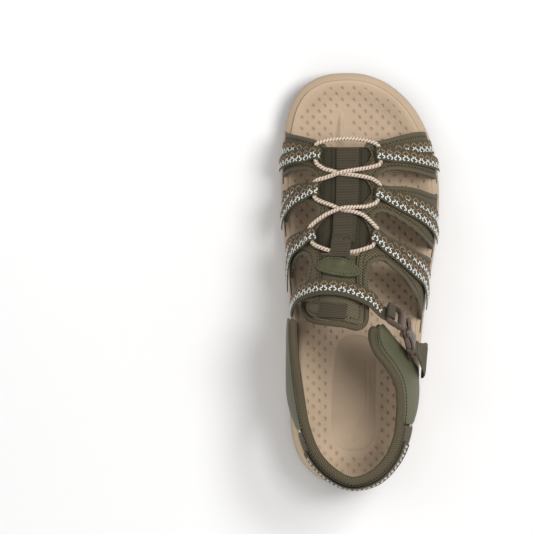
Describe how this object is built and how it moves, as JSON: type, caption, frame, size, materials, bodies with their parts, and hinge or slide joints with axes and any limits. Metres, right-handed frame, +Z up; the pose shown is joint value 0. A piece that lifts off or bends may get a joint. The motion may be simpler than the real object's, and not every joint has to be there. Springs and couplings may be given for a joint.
{
  "type": "strappy sport sandal",
  "caption": "Open strappy sport sandal, right foot: dished footbed on a foam and rubber sole, bungee-laced ribbon straps, buckled ankle strap and padded heel collar.",
  "frame": {"origin": "on the ground under the middle of the sole, on the plain pad of the tread below the arch", "axes": "+Y towards the toe, +X towards the outer side of the foot, +Z up"},
  "size_m": [0.1031, 0.2663, 0.0993],
  "materials": {
    "outsole_rubber": "matte",
    "midsole_foam": "matte",
    "shank_nylon": "satin",
    "footbed_foam": "matte",
    "quarter_knit": "matte",
    "gore_knit": "matte",
    "webbing_grosgrain": "matte",
    "ribbon_weave": "matte",
    "cord_braid": "matte",
    "label_rubber": "satin",
    "tongue_mesh": "matte",
    "binding_knit": "matte",
    "wing_fabric": "matte",
    "buckle_plastic": "satin"
  },
  "bodies": {
    "sandal": {"outsole": "outsole_rubber", "midsole": "midsole_foam", "shank": "shank_nylon", "footbed": "footbed_foam", "lateral_quarter": "quarter_knit", "medial_quarter": "quarter_knit", "stretch_gore": "gore_knit", "lateral_ribbon_1": "ribbon_weave", "lateral_ribbon_2": "ribbon_weave", "lateral_ribbon_3": "ribbon_weave", "medial_ribbon_1": "ribbon_weave", "medial_ribbon_2": "ribbon_weave", "medial_ribbon_3": "ribbon_weave", "bungee_cord": "cord_braid", "centre_webbing": "webbing_grosgrain", "label_patch": "label_rubber", "tongue_pad": "tongue_mesh", "tongue_binding": "binding_knit", "ankle_strap": "ribbon_weave", "buckle_socket": "buckle_plastic", "buckle_anchor": "webbing_grosgrain", "lateral_heel_wing": "wing_fabric", "medial_heel_wing": "wing_fabric", "heel_sling": "wing_fabric", "collar_lining": "binding_knit", "collar_binding": "binding_knit", "heel_ribbon": "ribbon_weave"},
    "plug": {"buckle_plug": "buckle_plastic"},
    "front_latch": {"latch_arm_front": "buckle_plastic"},
    "rear_latch": {"latch_arm_rear": "buckle_plastic"},
    "tab": {"pull_tab": "webbing_grosgrain"}
  },
  "joints": [
    {"name": "plug_release", "type": "slide", "parent": "sandal", "child": "plug", "axis": [-0.2427, 0.6354, 0.733], "range_m": [0, 0.024], "deforming": ["ankle_strap"]},
    {"name": "front_latch_squeeze", "type": "hinge", "parent": "plug", "child": "front_latch", "pos_m": [0.02865, -0.02519, 0.07843], "axis": [-0.9687, -0.1184, -0.218], "range_deg": [0, 6], "stiffness_Nm_per_rad": 0.06},
    {"name": "rear_latch_squeeze", "type": "hinge", "parent": "plug", "child": "rear_latch", "pos_m": [0.02813, -0.03282, 0.08487], "axis": [0.9687, 0.1184, 0.218], "range_deg": [0, 6], "stiffness_Nm_per_rad": 0.06},
    {"name": "pull_tab_lift", "type": "hinge", "parent": "sandal", "child": "tab", "pos_m": [-0.01615, -0.01535, 0.09284], "axis": [-0.9289, 0.1168, -0.3514], "range_deg": [0, 60]}
  ]
}
